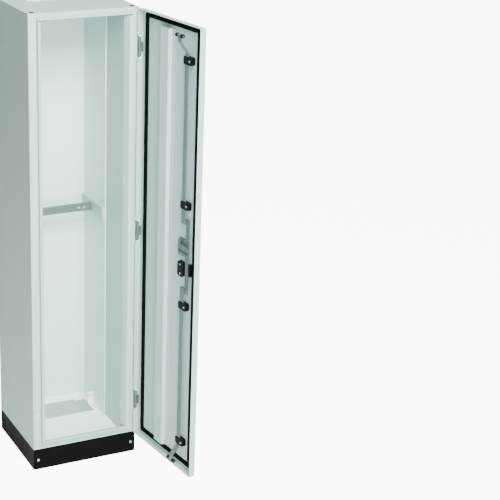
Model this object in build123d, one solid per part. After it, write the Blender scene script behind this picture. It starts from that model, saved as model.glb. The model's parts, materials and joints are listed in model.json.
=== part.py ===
"""Floor-standing switchboard cabinet: folded sheet body on a plinth, with one hinged door and a rod lock.

Millimetres. Origin at floor level under the middle of the body, +X to the right, +Y to the back, +Z up.
The door is drawn closed, in the body's own axes, and then turned about its hinge line to the stored pose.
"""

import math
import os

from build123d import *

# ---------------------------------------------------------------- body
WIDTH = 490.0
DEPTH = 450.0
PLINTH_HEIGHT = 100.0
BODY_HEIGHT = 1950.0
SHEET = 1.5
STILE_WIDTH = 35.5          # flat front face of each post
BEAD_DEPTH = 18.5           # how far the rolled lip stands in front of the body
OPENING_EDGE = 60.0         # body side to the sharp inner edge of the opening
EDGE_SETBACK = 19.0         # that edge, behind the front face
POST_DEPTH = 202.0          # front face to the rear end of each post's return
LINTEL_FACE = 17.0
LINTEL_BEAD = 12.0
SILL_FACE = 30.0
SILL_BEAD = 6.5
CHANNEL_SETBACK = 10.0      # lintel and sill, inner leg behind the front face
LINER_INSET = 67.0          # body side to the lining's inner surface
LINER_SHEET = 1.2
FLOOR_SHEET = 1.5
FOLD_GAP = 0.5              # between pieces that are only screwed together
REAR_FLANGE = 28.0
FLOOR_OPENING_WIDTH = 304.0
FLOOR_OPENING_FRONT = 37.0
FLOOR_OPENING_BACK = 183.0
REAR_RAIL_HEIGHT = 15.0
RAIL_ABOVE_MIDDLE = 17.0    # mounting rail above the body's middle
RAIL_HEIGHT = 35.0
RAIL_DEPTH = 15.0
RAIL_Y = 104.0
SIDE_RAIL_HEIGHT = 60.0
SIDE_RAIL_DEPTH = 12.0
BRACKET_WIDTH = 30.0
BRACKET_HEIGHT = 62.0
BRACKET_FOOT = 62.0
BRACKET_REAR = 107.0
BRACKET_SHEET = 2.0
COVER_OVERLAP = 13.0        # base cover beyond the floor opening
PLUG_INSET = 25.0           # roof plugs from both edges
PLUG_RADIUS = 9.0
GLAND_WIDTH = 300.0
GLAND_DEPTH = 150.0
GLAND_FRONT = 50.0
GLAND_HEIGHT = 6.0
MEMBRANE_RADIUS = 11.0
MEMBRANE_HEIGHT = 12.0
MEMBRANE_COLUMNS = 8
MEMBRANE_ROWS = 3

# ---------------------------------------------------------------- plinth
PLINTH_SHEET = 2.0
PLINTH_FOLD = 15.0
FOOT_PLATE = 62.0
FOOT_SHEET = 4.0
ANCHOR_RADIUS = 7.0
CLAMP_BOLT_RADIUS = 6.0
CLAMP_CLEARANCE = 0.5
PLINTH_SCREW_RADIUS = 3.0

# ---------------------------------------------------------------- door and hinges
DOOR_GAP = 3.0              # closed door's rim in front of the body
DOOR_DEPTH = 28.0
DOOR_SHEET = 1.5
DOOR_SIDE_GAP = 2.0
DOOR_BOTTOM_GAP = 3.0
DOOR_TOP_GAP = 4.0
DOOR_STORED_ANGLE = 96.0    # how far the stored door stands open
HINGE_INSET = 4.0           # hinge line inside the body's side
HINGE_FORWARD = 13.5        # hinge line in front of the body's front
HINGE_HEIGHT = 86.0
HINGE_END = 165.0           # middle of the outer hinges from the body's ends
KNUCKLE_RADIUS = 6.0
KNUCKLE_MIDDLE = 29.0
KNUCKLE_GAP = 0.5
PIN_RADIUS = 3.0
RUNNING_CLEARANCE = 0.05
LEAF_WIDTH = 6.0
DOOR_LEAF = 3.1
HINGE_FOOT = 3.0            # thickness of the frame leaf on the post
HINGE_PLATE_END = 6.0       # door leaf beyond its knuckle
NOTCH_CLEARANCE = 2.0
GASKET_WIDTH = 21.0
GASKET_HEIGHT = 10.0
GASKET_OVER_BEAD = 2.0      # gasket's outer side beyond the bead's outer side
STIFFENER_START = 150.0     # from the door's hinge edge
STIFFENER_WIDTH = 104.0
STIFFENER_FLANGE = 16.0
STIFFENER_HEIGHT = 16.0
STIFFENER_END_GAP = 14.0

# ---------------------------------------------------------------- rod lock
# starts and centres count from the door's hinge edge, layers from its rim
ROD_WIDTH = 25.0
ROD_THICKNESS = 4.0
ROD_LAYER = 10.0            # rods' inner side behind the rim
ROD_CENTRE = 373.5
ROD_TRAVEL = 22.0
ROD_CLEARANCE = 0.4
LOCK_CENTRE = 356.0
LOCK_ABOVE_MIDDLE = 45.0    # handle spindle above the body's middle
ROLLER_RADIUS = 8.5
ROLLER_WIDTH = 13.0
ROLLER_PIN_RADIUS = 2.5
ROLLER_SIDE_GAP = 0.5
ROLLER_SETBACK = 21.0       # roller line behind the body's front face, door closed
ROLLER_LIP_GAP = 1.0
GUIDE_WIDTH = 58.0
GUIDE_HEIGHT = 33.0
GUIDE_DEPTH = 20.0
GUIDE_START = 354.0
GUIDE_SCREW = 400.0
GUIDE_BELOW_TOP = 150.0
GUIDE_ABOVE_LOCK = 180.0
GUIDE_BELOW_LOCK = 262.0
GUIDE_ABOVE_BOTTOM = 128.0
CAM_RADIUS = 22.0
CAM_THICKNESS = 3.5
CAM_PIN_RADIUS = 3.0
CAM_PIN_HEAD = 6.0
BOSS_RADIUS = 6.5
SLOT_CLEARANCE = 0.75
DRIVE_THICKNESS = 4.0
BAR_WIDTH = 22.0
BAR_START = 391.0
TONGUE_LENGTH = 66.0
TONGUE_WIDTH = 20.0
TONGUE_CRANK = 4.0
SPINDLE_RADIUS = 5.0

# ---------------------------------------------------------------- outside handle
BASE_WIDTH = 40.0
BASE_THICKNESS = 4.5
BASE_TOP = 30.0             # above the spindle
BASE_BOTTOM = 172.0         # below the spindle
HUB_RADIUS = 16.0
HUB_SHANK = 10.95
HUB_HEIGHT = 5.5
HUB_HOLE_CLEARANCE = 0.5
LEVER_LENGTH = 150.0
LEVER_WIDTH = 28.0
LEVER_THICKNESS = 13.5
LEVER_GAP = 1.0
LEVER_PIN_RADIUS = 2.0
LEVER_PIN_OFFSET = 9.0
CYLINDER_RADIUS = 9.0
CYLINDER_OFFSET = 118.0

# ---------------------------------------------------------------- derived places
SIDE = WIDTH / 2
FRONT = -DEPTH / 2
BACK = DEPTH / 2
BODY_BOTTOM = PLINTH_HEIGHT
TOP = PLINTH_HEIGHT + BODY_HEIGHT
STILE_EDGE = SIDE - STILE_WIDTH
EDGE_X = SIDE - OPENING_EDGE
LINER_X = SIDE - LINER_INSET
FLOOR_TOP = BODY_BOTTOM + SHEET + FLOOR_SHEET
POST_END = FRONT + POST_DEPTH
BEAD_FACE = FRONT - BEAD_DEPTH
BACK_INNER = BACK - SHEET
LINTEL_EDGE = TOP - SHEET - LINTEL_FACE - LINTEL_BEAD
SILL_CREST = BODY_BOTTOM + SILL_FACE + SILL_BEAD
DOOR_EDGE = SIDE - DOOR_SIDE_GAP
DOOR_BOTTOM = BODY_BOTTOM + DOOR_BOTTOM_GAP
DOOR_TOP = TOP - DOOR_TOP_GAP
RIM = FRONT - DOOR_GAP
DOOR_FACE = RIM - DOOR_DEPTH
DOOR_INNER = DOOR_FACE + DOOR_SHEET
HINGE_X = SIDE - HINGE_INSET
HINGE_Y = FRONT - HINGE_FORWARD
HINGE_LINE = Axis((HINGE_X, HINGE_Y, 0), (0, 0, 1))
MIDDLE = BODY_BOTTOM + BODY_HEIGHT / 2
HINGE_LEVELS = (BODY_BOTTOM + HINGE_END, MIDDLE, TOP - HINGE_END)
RAIL_LEVEL = MIDDLE + RAIL_ABOVE_MIDDLE
LOCK_LEVEL = MIDDLE + LOCK_ABOVE_MIDDLE
GUIDE_LEVELS = (
    TOP - GUIDE_BELOW_TOP,
    LOCK_LEVEL + GUIDE_ABOVE_LOCK,
    LOCK_LEVEL - GUIDE_BELOW_LOCK,
    BODY_BOTTOM + GUIDE_ABOVE_BOTTOM,
)
LOCK_X = DOOR_EDGE - LOCK_CENTRE
ROD_X = DOOR_EDGE - ROD_CENTRE
ROD_Y = RIM - ROD_LAYER - ROD_THICKNESS / 2
ROLLER_Y = FRONT + ROLLER_SETBACK
UPPER_ROLLER = LINTEL_EDGE - SHEET / 2 - ROLLER_LIP_GAP - 6.0 - ROLLER_RADIUS
LOWER_ROLLER = SILL_CREST + ROLLER_LIP_GAP + ROLLER_RADIUS
CAM_PIN_REACH = ROD_TRAVEL / math.sqrt(2)
DRIVE_Y = ROD_Y - ROD_THICKNESS / 2 - DRIVE_THICKNESS / 2
CAM_Y = DRIVE_Y - DRIVE_THICKNESS / 2 - 1.5 - CAM_THICKNESS / 2
TONGUE_Y = ROD_Y + ROD_THICKNESS / 2 + 4.0
BASE_FACE = DOOR_FACE - BASE_THICKNESS
HUB_FACE = BASE_FACE - FOLD_GAP - HUB_HEIGHT
LEVER_INNER = BASE_FACE - LEVER_GAP
LEVER_OUTER = LEVER_INNER - LEVER_THICKNESS
LEVER_PIN_Y = HUB_FACE - 4.5
LEVER_PIN_X = LOCK_X + LEVER_PIN_OFFSET
CYLINDER_X = LOCK_X + CYLINDER_OFFSET


# ---------------------------------------------------------------- helpers
def block(x0, x1, y0, y1, z0, z1):
    """A box between two corners, whichever way round they are given."""
    low = [min(a, b) for a, b in ((x0, x1), (y0, y1), (z0, z1))]
    high = [max(a, b) for a, b in ((x0, x1), (y0, y1), (z0, z1))]
    size = [b - a for a, b in zip(low, high)]
    return Pos(*low) * Box(*size, align=(Align.MIN, Align.MIN, Align.MIN))


def rod_between(start, end, radius):
    """A round bar between two points."""
    start, end = Vector(*start), Vector(*end)
    span = end - start
    return Plane(origin=start, z_dir=span) * extrude(Circle(radius), span.length)


def on_lock_axis(start, end, radius):
    """A round bar on the lock's axis between two depths, door closed."""
    return rod_between((LOCK_X, start, LOCK_LEVEL), (LOCK_X, end, LOCK_LEVEL), radius)


def sheet_z(points, z0, z1, bend=3.0, thickness=SHEET):
    """Folded sheet: an XY mid-line given its thickness, carried up from z0 to z1."""
    line = FilletPolyline(*points, radius=bend) if len(points) > 2 else Polyline(*points)
    section = trace(line, line_width=thickness)
    return Pos(0, 0, z0) * extrude(section, z1 - z0)


def sheet_x(points, x0, x1, bend=3.0, thickness=SHEET):
    """Folded sheet: a YZ mid-line given its thickness, carried along X from x0 to x1."""
    line = FilletPolyline(*points, radius=bend) if len(points) > 2 else Polyline(*points)
    section = trace(line, line_width=thickness)
    return Plane.YZ.offset(x0) * extrude(section, x1 - x0)


def mirrored(shape):
    """The same piece on the other side of the cabinet."""
    return mirror(shape, about=Plane.YZ)


def group(*solids):
    """Separate solids that share one node."""
    return Compound(children=[s for item in solids for s in item.solids()])


def screw(x, y, z, direction, radius=4.5, head=2.0, shank=2.0, length=3.0):
    """A cross-recessed pan head with a short shank behind it; direction points out of the head."""
    out = Vector(*direction)
    at = Vector(x, y, z)
    plane = Plane(origin=at, z_dir=out)
    body = plane * extrude(Circle(radius), head)
    body = chamfer(body.edges().filter_by(GeomType.CIRCLE).sort_by(Axis(at, out))[-1], head * 0.35)
    body += plane * Pos(0, 0, -length) * extrude(Circle(shank), length)
    for turn in (0, 90):
        body -= plane * Rot(0, 0, turn) * Pos(0, 0, head) * Box(radius, radius * 0.22, head)
    return body


PARTS = {}
DOOR_SCREWS = []
BASE_FIXINGS = []


def node(name, shape, on_door=False):
    """Keeps a finished piece, turned with the door where it belongs to the door."""
    PARTS[name] = shape.rotate(HINGE_LINE, DOOR_STORED_ANGLE) if on_door else shape


# ---------------------------------------------------------------- plinth
def make_plinth():
    """Four folded panels round four corner feet."""
    fold_x = SIDE - FOOT_PLATE - 2 * PLINTH_SHEET
    fold_y = BACK - FOOT_PLATE - 2 * PLINTH_SHEET
    screw_x = SIDE - FOOT_PLATE / 3
    for name, sign in (("plinth_front", -1), ("plinth_rear", 1)):
        outer, inner = sign * BACK, sign * (BACK - PLINTH_SHEET)
        lip = sign * (BACK - PLINTH_SHEET - PLINTH_FOLD)
        panel = block(-SIDE, SIDE, outer, inner, 0, PLINTH_HEIGHT)
        panel += block(-fold_x, fold_x, inner, lip, PLINTH_HEIGHT - PLINTH_SHEET, PLINTH_HEIGHT)
        panel += block(-fold_x, fold_x, inner, lip, 0, PLINTH_SHEET)
        node(name, panel)
    for name, sign in (("plinth_left", -1), ("plinth_right", 1)):
        outer, inner = sign * SIDE, sign * (SIDE - PLINTH_SHEET)
        lip = sign * (SIDE - PLINTH_SHEET - PLINTH_FOLD)
        end = BACK - PLINTH_SHEET
        panel = block(outer, inner, -end, end, 0, PLINTH_HEIGHT)
        panel += block(inner, lip, -fold_y, fold_y, PLINTH_HEIGHT - PLINTH_SHEET, PLINTH_HEIGHT)
        panel += block(inner, lip, -fold_y, fold_y, 0, PLINTH_SHEET)
        node(name, panel)
    corners, bolts = [], []
    x1, y1 = SIDE - PLINTH_SHEET, BACK - PLINTH_SHEET
    hole_x, hole_y = x1 - FOOT_PLATE / 2, y1 - FOOT_PLATE / 2
    for sx in (-1, 1):
        for sy in (-1, 1):
            x0, y0 = x1 - FOOT_PLATE, y1 - FOOT_PLATE
            foot = block(sx * x0, sx * x1, sy * y0, sy * y1, 0, FOOT_SHEET)
            foot += block(sx * x0, sx * x1, sy * y0, sy * y1, PLINTH_HEIGHT - FOOT_SHEET, PLINTH_HEIGHT)
            foot += block(sx * (x1 - FOOT_SHEET), sx * x1, sy * y0, sy * y1, 0, PLINTH_HEIGHT)
            foot += block(sx * x0, sx * x1, sy * (y1 - FOOT_SHEET), sy * y1, 0, PLINTH_HEIGHT)
            at = (sx * hole_x, sy * hole_y)
            foot -= rod_between((*at, -1), (*at, FOOT_SHEET + 1), ANCHOR_RADIUS)
            under, over = PLINTH_HEIGHT - FOOT_SHEET - 1, PLINTH_HEIGHT + 1
            foot -= rod_between((*at, under), (*at, over), CLAMP_BOLT_RADIUS + CLAMP_CLEARANCE)
            corners.append(foot)
            seat = BODY_BOTTOM + SHEET
            bolt = rod_between((*at, seat - 14), (*at, seat), CLAMP_BOLT_RADIUS)
            bolt += Pos(*at, seat) * extrude(RegularPolygon(10.4, 6), 7.5)
            bolts.append(bolt)
    node("plinth_corners", group(*corners))
    BASE_FIXINGS.extend(bolts)
    level = PLINTH_HEIGHT / 2 - 3
    heads = []
    for name, sy in (("plinth_front", -1), ("plinth_rear", 1)):
        for x in (-screw_x, screw_x):
            inside, outside = sy * (BACK - 1.5 * PLINTH_SHEET), sy * (BACK + 1)
            PARTS[name] -= rod_between((x, inside, level), (x, outside, level), PLINTH_SCREW_RADIUS)
            heads.append(screw(x, sy * BACK, level, (0, sy, 0), radius=2 * PLINTH_SCREW_RADIUS, head=2.5,
                               shank=PLINTH_SCREW_RADIUS, length=PLINTH_SHEET))
    node("plinth_screws", group(*heads))


# ---------------------------------------------------------------- body shell
def post_path():
    """Mid-line of the right post: stile, rolled lip, inner edge, return and end fold."""
    face = FRONT + SHEET / 2
    crest = BEAD_FACE + SHEET / 2
    inner = EDGE_X - SHEET / 2
    return [
        (SIDE, face),
        (STILE_EDGE - SHEET / 2, face),
        (STILE_EDGE - SHEET, crest),
        (STILE_EDGE - 13.0, crest + 3.5),
        (inner, FRONT + EDGE_SETBACK),
        (inner, POST_END - SHEET / 2),
        (inner + 15.0, POST_END - SHEET / 2),
    ]


def make_posts():
    """Left and right front posts, with the lip between sill and lintel only."""
    path = post_path()
    low, high = BODY_BOTTOM, TOP - SHEET
    bead_low, bead_high = SILL_CREST, LINTEL_EDGE - SHEET / 2
    post = sheet_z(path, low, high)
    lip_end = FRONT + EDGE_SETBACK + 2.0
    for start, end in ((low, bead_low), (bead_high, high)):
        post -= block(0, STILE_EDGE, BEAD_FACE - 1, lip_end, start, end)
    post -= block(0, SIDE, FRONT + SHEET, POST_END + 1, low, low + SHEET)
    cap = make_face(FilletPolyline(*path[1:5], (path[4][0], path[0][1]), radius=3.0, close=True))
    for level in (bead_low, bead_high - SHEET):
        post += Pos(0, 0, level) * extrude(cap, SHEET)
    node("right_front_post", post)
    node("left_front_post", mirrored(post))


def capped(path, reach, closing):
    """A lip section carried across the opening, with its ends closed."""
    bar = sheet_x(path, -reach, reach)
    outline = path[closing[0]:closing[1]]
    end = make_face(Polyline(*outline, close=True))
    for x in (-reach, reach - SHEET):
        bar += Plane.YZ.offset(x) * extrude(end, SHEET)
    return bar.clean()


def make_cross_members():
    """Lintel above the opening and sill below it."""
    face, crest = FRONT + SHEET / 2, BEAD_FACE + SHEET / 2
    leg = FRONT + CHANNEL_SETBACK
    reach = STILE_EDGE
    roof_under = TOP - SHEET
    foot = roof_under - LINTEL_FACE
    lintel = [
        (face, roof_under),
        (face, foot),
        (crest, foot - 1.0),
        (crest + 2.0, foot - 7.0),
        (leg, LINTEL_EDGE),
        (leg, roof_under),
    ]
    node("front_lintel", capped(lintel, reach, (1, 5)))
    low = BODY_BOTTOM
    foot = low + SILL_FACE
    sill = [
        (face, low),
        (face, foot + SHEET / 2),
        (crest, foot + SHEET / 2),
        (crest, SILL_CREST - SHEET / 2),
        (leg, SILL_CREST - SHEET / 2 - 3.0),
        (leg, FLOOR_TOP - FLOOR_SHEET),
    ]
    bar = sheet_x(sill, -reach, reach, bend=2.0)
    outline = sill[1:5] + [(leg, foot)]
    end = make_face(Polyline(*outline, close=True))
    for x in (-reach, reach - SHEET):
        bar += Plane.YZ.offset(x) * extrude(end, SHEET)
    node("front_sill", bar.clean())


def make_shell():
    """Side panels, back panel and roof."""
    inner = SIDE - SHEET
    flange_y = BACK_INNER - SHEET
    side = block(inner, SIDE, FRONT + SHEET, BACK_INNER, BODY_BOTTOM, TOP - SHEET)
    side += block(inner - REAR_FLANGE, inner, flange_y, BACK_INNER, BODY_BOTTOM + SHEET, TOP - SHEET)
    node("right_side_panel", side)
    node("left_side_panel", mirrored(side))
    back = block(-SIDE, SIDE, BACK_INNER, BACK, BODY_BOTTOM, TOP - SHEET)
    heads = []
    column = SIDE - REAR_FLANGE / 2
    for step in range(6):
        level = BODY_BOTTOM + 60 + step * (BODY_HEIGHT - 120) / 5
        for x in (-column, column):
            back -= rod_between((x, BACK_INNER - 1, level), (x, BACK + 1, level), 2.5)
            heads.append(screw(x, BACK, level, (0, 1, 0), radius=5.0, head=2.5, shank=2.5, length=SHEET))
    node("back_panel", back)
    node("back_panel_screws", group(*heads))
    roof = block(-SIDE, SIDE, FRONT, BACK, TOP - SHEET, TOP)
    roof = fillet(roof.edges().filter_by(Axis.Z), 2.0)
    cut = 12.0
    roof -= block(
        -GLAND_WIDTH / 2 + cut, GLAND_WIDTH / 2 - cut,
        GLAND_FRONT + cut, GLAND_FRONT + GLAND_DEPTH - cut, TOP - 5, TOP + 5,
    )
    plugs = []
    for sx in (-1, 1):
        for sy in (-1, 1):
            at = (sx * (SIDE - PLUG_INSET), sy * (BACK - PLUG_INSET))
            roof -= rod_between((*at, TOP - 5), (*at, TOP + 1), PLUG_RADIUS - 2.5)
            plug = rod_between((*at, TOP), (*at, TOP + 2.5), PLUG_RADIUS)
            plug = fillet(plug.edges().sort_by(Axis.Z)[-1], 1.5)
            plug += rod_between((*at, TOP - 4), (*at, TOP), PLUG_RADIUS - 2.5)
            plugs.append(plug)
    node("roof_panel", roof)
    node("roof_corner_plugs", group(*plugs))


def make_gland():
    """Raised cable-entry plate with rows of cone membranes."""
    x1, y0 = GLAND_WIDTH / 2, GLAND_FRONT
    plate = block(-x1, x1, y0, y0 + GLAND_DEPTH, TOP, TOP + GLAND_HEIGHT)
    plate = fillet(plate.edges().filter_by(Axis.Z), 8.0)
    plate = fillet(plate.faces().sort_by(Axis.Z)[-1].edges(), 2.0)
    plate -= block(-x1 + 3, x1 - 3, y0 + 3, y0 + GLAND_DEPTH - 3, TOP - 1, TOP + GLAND_HEIGHT - 2.5)
    cones = []
    pitch_x = GLAND_WIDTH / MEMBRANE_COLUMNS
    pitch_y = GLAND_DEPTH / MEMBRANE_ROWS
    for i in range(MEMBRANE_COLUMNS):
        for j in range(MEMBRANE_ROWS):
            at = (-x1 + (i + 0.5) * pitch_x, y0 + (j + 0.5) * pitch_y)
            top = TOP + GLAND_HEIGHT
            plate -= rod_between((*at, TOP), (*at, top + 1), MEMBRANE_RADIUS - 2)
            cone = Pos(*at, top) * extrude(Circle(MEMBRANE_RADIUS), 2.0)
            cone += Pos(*at, top - 2.5) * extrude(Circle(MEMBRANE_RADIUS - 2), 2.5)
            height = MEMBRANE_HEIGHT - 2.0
            cone += Pos(*at, top + 2.0 + height / 2) * Cone(MEMBRANE_RADIUS - 3, 2.5, height)
            cones.append(cone)
    node("roof_gland_plate", plate)
    node("cable_membranes", group(*cones))


def make_inside():
    """Linings, floor pieces, mounting rail and its supports."""
    mid = LINER_X + LINER_SHEET / 2
    front = POST_END + LINER_SHEET / 2 + 0.1
    rear = BACK_INNER - SHEET - LINER_SHEET / 2
    liner_top = TOP - SHEET - 2.0
    path = [(EDGE_X - SHEET, front), (mid, front), (mid, rear), (mid + 14.0, rear)]
    liner = sheet_z(path, FLOOR_TOP, liner_top, bend=1.5, thickness=LINER_SHEET)
    node("right_side_liner", liner)
    node("left_side_liner", mirrored(liner))
    half = FLOOR_OPENING_WIDTH / 2
    low, high = BODY_BOTTOM, BODY_BOTTOM + SHEET
    base = block(-SIDE + SHEET, SIDE - SHEET, FRONT + SHEET, BACK_INNER, low, high)
    base -= block(-half, half, FLOOR_OPENING_FRONT, FLOOR_OPENING_BACK, low - 1, high + 1)
    hole_x = SIDE - PLINTH_SHEET - FOOT_PLATE / 2
    hole_y = BACK - PLINTH_SHEET - FOOT_PLATE / 2
    for sx in (-1, 1):
        for sy in (-1, 1):
            at = (sx * hole_x, sy * hole_y)
            base -= rod_between((*at, low - 1), (*at, high + 1), CLAMP_BOLT_RADIUS + CLAMP_CLEARANCE)
    over = COVER_OVERLAP
    rear_edge, front_edge = FLOOR_OPENING_BACK + over, FLOOR_OPENING_FRONT - over
    cover = block(-half - over, half + over, front_edge, rear_edge, low - SHEET, low)
    studs = []
    for sx in (-1, 1):
        for y in (FLOOR_OPENING_FRONT + 20.0, FLOOR_OPENING_BACK - 20.0):
            x = sx * (half + over / 2)
            base -= rod_between((x, y, low - 1), (x, y, high + 1), 2.5)
            cover -= rod_between((x, y, low - SHEET - 1), (x, y, low + 1), 2.5)
            studs.append(rod_between((x, y, low - SHEET), (x, y, high), 2.5)
                         + rod_between((x, y, low - SHEET - 2.5), (x, y, low - SHEET), 4.5))
    node("base_cover_plate", cover)
    BASE_FIXINGS.extend(studs)
    node("base_frame", base)
    edge = EDGE_X - SHEET - FOLD_GAP
    sill_leg = FRONT + CHANNEL_SETBACK + SHEET / 2 + FOLD_GAP
    floor = block(-edge, edge, sill_leg, FLOOR_OPENING_FRONT, high, FLOOR_TOP)
    node("floor_front_plate", floor)
    strip = block(half, edge, FLOOR_OPENING_FRONT + FOLD_GAP, FLOOR_OPENING_BACK - FOLD_GAP, high, FLOOR_TOP)
    node("floor_side_strips", group(strip, mirrored(strip)))
    rail = block(-edge, edge, FLOOR_OPENING_BACK, rear - 1.0, high, FLOOR_TOP)
    rail += block(-LINER_X + 1, LINER_X - 1, BACK_INNER - 3 * SHEET, BACK_INNER - SHEET * 1.7,
                  high, FLOOR_TOP + REAR_RAIL_HEIGHT)
    rail += block(half - 49.0, half - 5.0, FLOOR_OPENING_BACK - 18.0, FLOOR_OPENING_BACK, high, FLOOR_TOP)
    node("floor_rear_rail", rail)
    node("rear_corner_brackets", group(make_bracket(), mirrored(make_bracket())))
    make_rails()


def make_bracket():
    """Right rear corner bracket: foot on the side strip, slotted upright and a sloping gusset."""
    x1 = LINER_X - 0.5
    x0 = x1 - BRACKET_WIDTH
    y1 = BRACKET_REAR
    y0 = y1 - BRACKET_FOOT
    top = FLOOR_TOP + BRACKET_HEIGHT
    foot = block(x0, x1, y0, y1, FLOOR_TOP, FLOOR_TOP + BRACKET_SHEET)
    upright = block(x0, x1, y1 - BRACKET_SHEET, y1, FLOOR_TOP, top)
    toe, heel = FLOOR_TOP + 10.0, y1 - 12.0
    slope = Polyline((y0, FLOOR_TOP), (y0, toe), (heel, top), (y1, top), (y1, FLOOR_TOP), close=True)
    gusset = Plane.YZ.offset(x1 - BRACKET_SHEET) * extrude(make_face(slope), BRACKET_SHEET)
    for k in (-1, 1):
        x = (x0 + x1) / 2 - 2.0 + k * 5.5
        window = extrude(SlotOverall(17.0, 4.5, rotation=90), 5.0, both=True)
        slot = Pos(x, y1, top - 17.0) * Rot(90, 0, 0) * window
        upright -= slot
    for k in range(3):
        mark = Pos((x0 + x1) / 2 - 2.0, y0 + 9.0 + k * 13.0, FLOOR_TOP - 1)
        foot -= mark * extrude(SlotOverall(15.0, 4.0), BRACKET_SHEET + 2)
    return foot + upright + gusset


def make_rails():
    """Mounting rail across the cabinet on two depth-wise side rails."""
    x1, x0 = LINER_X, LINER_X - SIDE_RAIL_DEPTH
    low, high = RAIL_LEVEL - SIDE_RAIL_HEIGHT / 2, RAIL_LEVEL + SIDE_RAIL_HEIGHT / 2
    y0, y1 = POST_END + 3.0, BACK_INNER - SHEET - 3.0
    side = block(x0, x1, y0, y1, low, high)
    side -= block(x0 + 1.5, x1 + 1, y0 + 1.5, y1 - 1.5, low + 1.5, high - 1.5)
    holes = []
    for step in range(7):
        y = RAIL_Y + (step - 3) * 25.0
        holes.append(rod_between((x0 - 1, y, RAIL_LEVEL), (x0 + 3, y, RAIL_LEVEL), 3.2))
    for hole in holes:
        side -= hole
    node("right_depth_rail", side)
    node("left_depth_rail", mirrored(side))
    reach = x0 - FOLD_GAP
    low, high = RAIL_LEVEL - RAIL_HEIGHT / 2, RAIL_LEVEL + RAIL_HEIGHT / 2
    rear = RAIL_Y + RAIL_DEPTH
    rail = block(-reach, reach, RAIL_Y, RAIL_Y + 1.5, low, high)
    rail += block(-reach, reach, RAIL_Y, rear, low, low + 1.5)
    rail += block(-reach, reach, RAIL_Y, rear, high - 1.5, high)
    screws = []
    for sign in (-1, 1):
        end = sign * reach
        rail += block(end, end - sign * 1.5, RAIL_Y, rear, low, high)
        for inset in (14.0, 62.0):
            x = sign * (reach - inset)
            slot = extrude(SlotOverall(12.0, 6.5), 4.0, both=True)
            rail -= Plane.XZ.offset(-RAIL_Y) * Pos(x, RAIL_LEVEL) * slot
        x = sign * (reach - 38.0)
        rail -= rod_between((x, RAIL_Y - 1, RAIL_LEVEL), (x, RAIL_Y + 3, RAIL_LEVEL), 3.0)
        screws.append(screw(x, RAIL_Y, RAIL_LEVEL, (0, -1, 0), radius=6.0, head=3.0, shank=3.0, length=8.0))
    node("mounting_rail", rail)
    node("mounting_rail_screws", group(*screws))
    clip_z = TOP - 120.0
    clip = block(LINER_X - 7.0, LINER_X, BACK_INNER - 18.0, BACK_INNER - 4.0, clip_z, clip_z + 8.0)
    clip = fillet(clip.edges().filter_by(Axis.X), 1.5)
    plugs = []
    for level in (HINGE_LEVELS[0], HINGE_LEVELS[-1]):
        x = 4.0 - (STILE_EDGE + SIDE) / 2
        plug = rod_between((x, FRONT, level), (x, FRONT - 1.2, level), 5.0)
        plugs.append(fillet(plug.edges().sort_by(Axis.Y)[0], 0.8))
    lip = (EDGE_X - SHEET, FRONT + EDGE_SETBACK + 8.0, HINGE_LEVELS[0] - 20.0)
    plugs.append(rod_between(lip, (lip[0] - 1.5, lip[1], lip[2]), 4.0))
    node("plugs_and_clips", group(clip, mirrored(clip), *plugs))


# ---------------------------------------------------------------- hinges
def make_hinges():
    """Three lift-off hinges: outer knuckles on the body, middle knuckle on the door."""
    frames, pins, leaves = [], [], []
    half, mid = HINGE_HEIGHT / 2, KNUCKLE_MIDDLE / 2
    bore = PIN_RADIUS + RUNNING_CLEARANCE
    for level in HINGE_LEVELS:
        x0 = HINGE_X - LEAF_WIDTH
        frame = block(x0, HINGE_X, FRONT, FRONT - HINGE_FOOT, level - half, level + half)
        inner_end = mid + KNUCKLE_GAP
        for low, high in ((level - half, level - inner_end), (level + inner_end, level + half)):
            frame += block(x0, HINGE_X, FRONT, HINGE_Y, low, high)
            frame += rod_between((HINGE_X, HINGE_Y, low), (HINGE_X, HINGE_Y, high), KNUCKLE_RADIUS)
        foot, top = (HINGE_X, HINGE_Y, level - half), (HINGE_X, HINGE_Y, level + half)
        cap = (HINGE_X, HINGE_Y, level + half + 3)
        frame -= rod_between(foot, top, PIN_RADIUS)
        frames.append(frame)
        pin = rod_between(foot, cap, PIN_RADIUS) + rod_between(top, cap, PIN_RADIUS + 1.5)
        pins.append(pin)
        x1 = DOOR_EDGE - DOOR_SHEET
        plate_front = HINGE_Y - KNUCKLE_RADIUS - 0.9
        reach = mid + HINGE_PLATE_END
        leaf = block(x1 - DOOR_LEAF, x1, plate_front, DOOR_INNER, level - reach, level + reach)
        leaf += block(x1 - DOOR_LEAF, x1, HINGE_Y, plate_front, level - mid, level + mid)
        leaf += rod_between((HINGE_X, HINGE_Y, level - mid), (HINGE_X, HINGE_Y, level + mid), KNUCKLE_RADIUS)
        leaf -= rod_between((HINGE_X, HINGE_Y, level - half), (HINGE_X, HINGE_Y, level + half), bore)
        leaves.append(leaf)
    node("hinge_frame_leaves", group(*frames))
    node("hinge_pins", group(*pins))
    node("hinge_door_leaves", group(*leaves), on_door=True)


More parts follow.
